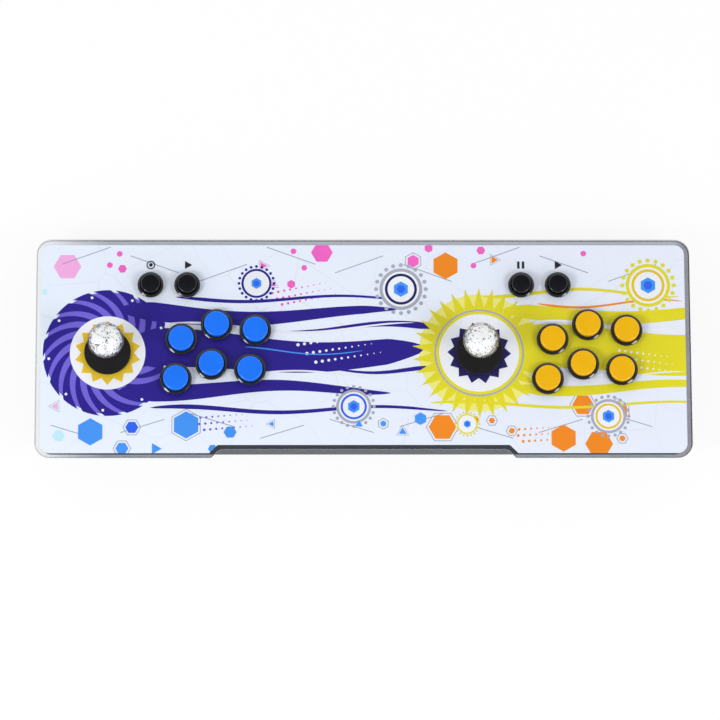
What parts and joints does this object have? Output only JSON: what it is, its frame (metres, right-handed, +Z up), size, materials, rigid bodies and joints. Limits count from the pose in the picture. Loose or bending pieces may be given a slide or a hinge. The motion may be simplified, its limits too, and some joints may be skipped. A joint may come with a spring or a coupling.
{
  "type": "arcade joystick panel",
  "caption": "Low two-player arcade control panel: steel case under a printed film and clear acrylic cover, with ball-top joysticks, round push buttons and rear sockets.",
  "frame": {"origin": "on the surface the panel stands on, under the middle of the acrylic cover", "axes": "+X to the player's right along the long side, +Y away from the player to the rear sockets, +Z up"},
  "size_m": [0.66, 0.226, 0.1223],
  "materials": {
    "clear_acrylic": "polished clear acrylic",
    "printed_film": "printed film",
    "case_paint": "black powder coat, fine texture",
    "zinc_steel": "zinc-plated steel",
    "foot_rubber": "black rubber",
    "black_gloss": "glossy black plastic",
    "blue_plunger": "glossy blue plastic",
    "yellow_plunger": "glossy yellow plastic",
    "black_plunger": "glossy black plastic",
    "black_moulding": "satin black plastic",
    "white_nylon": "white nylon",
    "switch_plastic": "matt black plastic",
    "crystal": "clear cast resin with bubbles",
    "brass": "turned brass",
    "polished_steel": "polished steel",
    "spring_steel": "spring steel",
    "circuit_board": "green solder mask",
    "port_shell": "tin-plated steel"
  },
  "bodies": {
    "case": {"acrylic_cover": "clear_acrylic", "printed_film": "printed_film", "case_shell": "case_paint", "bottom_plate": "case_paint", "rubber_feet": "foot_rubber", "bottom_screws": "zinc_steel", "left_action_bezels": "black_gloss", "right_action_bezels": "black_gloss", "menu_bezels": "black_gloss", "button_nuts": "black_moulding", "button_microswitches": "switch_plastic", "left_mount_plate": "zinc_steel", "left_stick_housing": "black_moulding", "left_switch_board": "circuit_board", "left_restrictor_gate": "black_moulding", "right_mount_plate": "zinc_steel", "right_stick_housing": "black_moulding", "right_switch_board": "circuit_board", "right_restrictor_gate": "black_moulding", "stick_fasteners": "zinc_steel", "game_board": "circuit_board", "board_standoffs": "brass", "hdmi_port": "port_shell", "vga_port": "port_shell", "usb_ports": "port_shell", "power_inlet": "black_moulding", "power_switch_body": "black_moulding"},
    "left_action_plunger_1": {"left_action_plunger_1": "blue_plunger"},
    "left_action_plunger_2": {"left_action_plunger_2": "blue_plunger"},
    "left_action_plunger_3": {"left_action_plunger_3": "blue_plunger"},
    "left_action_plunger_4": {"left_action_plunger_4": "blue_plunger"},
    "left_action_plunger_5": {"left_action_plunger_5": "blue_plunger"},
    "left_action_plunger_6": {"left_action_plunger_6": "blue_plunger"},
    "left_menu_plunger_1": {"left_menu_plunger_1": "black_plunger"},
    "left_menu_plunger_2": {"left_menu_plunger_2": "black_plunger"},
    "right_action_plunger_1": {"right_action_plunger_1": "yellow_plunger"},
    "right_action_plunger_2": {"right_action_plunger_2": "yellow_plunger"},
    "right_action_plunger_3": {"right_action_plunger_3": "yellow_plunger"},
    "right_action_plunger_4": {"right_action_plunger_4": "yellow_plunger"},
    "right_action_plunger_5": {"right_action_plunger_5": "yellow_plunger"},
    "right_action_plunger_6": {"right_action_plunger_6": "yellow_plunger"},
    "right_menu_plunger_1": {"right_menu_plunger_1": "black_plunger"},
    "right_menu_plunger_2": {"right_menu_plunger_2": "black_plunger"},
    "left_pivot": {"left_stick_pivot": "white_nylon"},
    "left_stick": {"left_stick_shaft": "polished_steel", "left_stick_actuator": "black_moulding", "left_centring_spring": "spring_steel", "left_ball_top": "crystal", "left_ball_insert": "brass"},
    "left_lower_washer": {"left_lower_dust_washer": "black_moulding"},
    "left_washer": {"left_dust_washer": "black_moulding"},
    "right_pivot": {"right_stick_pivot": "white_nylon"},
    "right_stick": {"right_stick_shaft": "polished_steel", "right_stick_actuator": "black_moulding", "right_centring_spring": "spring_steel", "right_ball_top": "crystal", "right_ball_insert": "brass"},
    "right_lower_washer": {"right_lower_dust_washer": "black_moulding"},
    "right_washer": {"right_dust_washer": "black_moulding"},
    "power_rocker": {"power_rocker": "black_gloss"}
  },
  "joints": [
    {"name": "left_action_press_1", "type": "slide", "parent": "case", "child": "left_action_plunger_1", "axis": [0, 0, -1], "range_m": [0, 0.0025], "stiffness_N_per_m": 250, "springref_m": -0.002},
    {"name": "left_action_press_2", "type": "slide", "parent": "case", "child": "left_action_plunger_2", "axis": [0, 0, -1], "range_m": [0, 0.0025], "stiffness_N_per_m": 250, "springref_m": -0.002},
    {"name": "left_action_press_3", "type": "slide", "parent": "case", "child": "left_action_plunger_3", "axis": [0, 0, -1], "range_m": [0, 0.0025], "stiffness_N_per_m": 250, "springref_m": -0.002},
    {"name": "left_action_press_4", "type": "slide", "parent": "case", "child": "left_action_plunger_4", "axis": [0, 0, -1], "range_m": [0, 0.0025], "stiffness_N_per_m": 250, "springref_m": -0.002},
    {"name": "left_action_press_5", "type": "slide", "parent": "case", "child": "left_action_plunger_5", "axis": [0, 0, -1], "range_m": [0, 0.0025], "stiffness_N_per_m": 250, "springref_m": -0.002},
    {"name": "left_action_press_6", "type": "slide", "parent": "case", "child": "left_action_plunger_6", "axis": [0, 0, -1], "range_m": [0, 0.0025], "stiffness_N_per_m": 250, "springref_m": -0.002},
    {"name": "left_menu_press_1", "type": "slide", "parent": "case", "child": "left_menu_plunger_1", "axis": [0, 0, -1], "range_m": [0, 0.0025], "stiffness_N_per_m": 250, "springref_m": -0.002},
    {"name": "left_menu_press_2", "type": "slide", "parent": "case", "child": "left_menu_plunger_2", "axis": [0, 0, -1], "range_m": [0, 0.0025], "stiffness_N_per_m": 250, "springref_m": -0.002},
    {"name": "right_action_press_1", "type": "slide", "parent": "case", "child": "right_action_plunger_1", "axis": [0, 0, -1], "range_m": [0, 0.0025], "stiffness_N_per_m": 250, "springref_m": -0.002},
    {"name": "right_action_press_2", "type": "slide", "parent": "case", "child": "right_action_plunger_2", "axis": [0, 0, -1], "range_m": [0, 0.0025], "stiffness_N_per_m": 250, "springref_m": -0.002},
    {"name": "right_action_press_3", "type": "slide", "parent": "case", "child": "right_action_plunger_3", "axis": [0, 0, -1], "range_m": [0, 0.0025], "stiffness_N_per_m": 250, "springref_m": -0.002},
    {"name": "right_action_press_4", "type": "slide", "parent": "case", "child": "right_action_plunger_4", "axis": [0, 0, -1], "range_m": [0, 0.0025], "stiffness_N_per_m": 250, "springref_m": -0.002},
    {"name": "right_action_press_5", "type": "slide", "parent": "case", "child": "right_action_plunger_5", "axis": [0, 0, -1], "range_m": [0, 0.0025], "stiffness_N_per_m": 250, "springref_m": -0.002},
    {"name": "right_action_press_6", "type": "slide", "parent": "case", "child": "right_action_plunger_6", "axis": [0, 0, -1], "range_m": [0, 0.0025], "stiffness_N_per_m": 250, "springref_m": -0.002},
    {"name": "right_menu_press_1", "type": "slide", "parent": "case", "child": "right_menu_plunger_1", "axis": [0, 0, -1], "range_m": [0, 0.0025], "stiffness_N_per_m": 250, "springref_m": -0.002},
    {"name": "right_menu_press_2", "type": "slide", "parent": "case", "child": "right_menu_plunger_2", "axis": [0, 0, -1], "range_m": [0, 0.0025], "stiffness_N_per_m": 250, "springref_m": -0.002},
    {"name": "left_stick_sideways", "type": "hinge", "parent": "case", "child": "left_pivot", "pos_m": [-0.2576, -0.0044, 0.042], "axis": [0, 1, 0], "range_deg": [-8, 8], "stiffness_Nm_per_rad": 1, "deforming": ["left_centring_spring"]},
    {"name": "left_stick_fore_and_aft", "type": "hinge", "parent": "left_pivot", "child": "left_stick", "pos_m": [-0.2576, -0.0044, 0.042], "axis": [-1, 0, 0], "range_deg": [-8, 8], "stiffness_Nm_per_rad": 1, "deforming": ["left_centring_spring"]},
    {"name": "left_washer_sideways", "type": "slide", "parent": "case", "child": "left_lower_washer", "axis": [1, 0, 0], "range_m": [-0.00209, 0.00209]},
    {"name": "left_washer_fore_and_aft", "type": "slide", "parent": "left_lower_washer", "child": "left_washer", "axis": [0, 1, 0], "range_m": [-0.00209, 0.00209]},
    {"name": "right_stick_sideways", "type": "hinge", "parent": "case", "child": "right_pivot", "pos_m": [0.1166, -0.0044, 0.042], "axis": [0, 1, 0], "range_deg": [-8, 8], "stiffness_Nm_per_rad": 1, "deforming": ["right_centring_spring"]},
    {"name": "right_stick_fore_and_aft", "type": "hinge", "parent": "right_pivot", "child": "right_stick", "pos_m": [0.1166, -0.0044, 0.042], "axis": [-1, 0, 0], "range_deg": [-8, 8], "stiffness_Nm_per_rad": 1, "deforming": ["right_centring_spring"]},
    {"name": "right_washer_sideways", "type": "slide", "parent": "case", "child": "right_lower_washer", "axis": [1, 0, 0], "range_m": [-0.00209, 0.00209]},
    {"name": "right_washer_fore_and_aft", "type": "slide", "parent": "right_lower_washer", "child": "right_washer", "axis": [0, 1, 0], "range_m": [-0.00209, 0.00209]},
    {"name": "power_switch_rock", "type": "hinge", "parent": "case", "child": "power_rocker", "pos_m": [-0.112, 0.105, 0.02985], "axis": [0, 0, -1], "range_deg": [0, 22]}
  ],
  "couplings": [
    {"joint": "left_washer_sideways", "follows": "left_stick_sideways", "m_per_rad": 0.0149},
    {"joint": "left_washer_fore_and_aft", "follows": "left_stick_fore_and_aft", "m_per_rad": 0.0149},
    {"joint": "right_washer_sideways", "follows": "right_stick_sideways", "m_per_rad": 0.0149},
    {"joint": "right_washer_fore_and_aft", "follows": "right_stick_fore_and_aft", "m_per_rad": 0.0149}
  ]
}
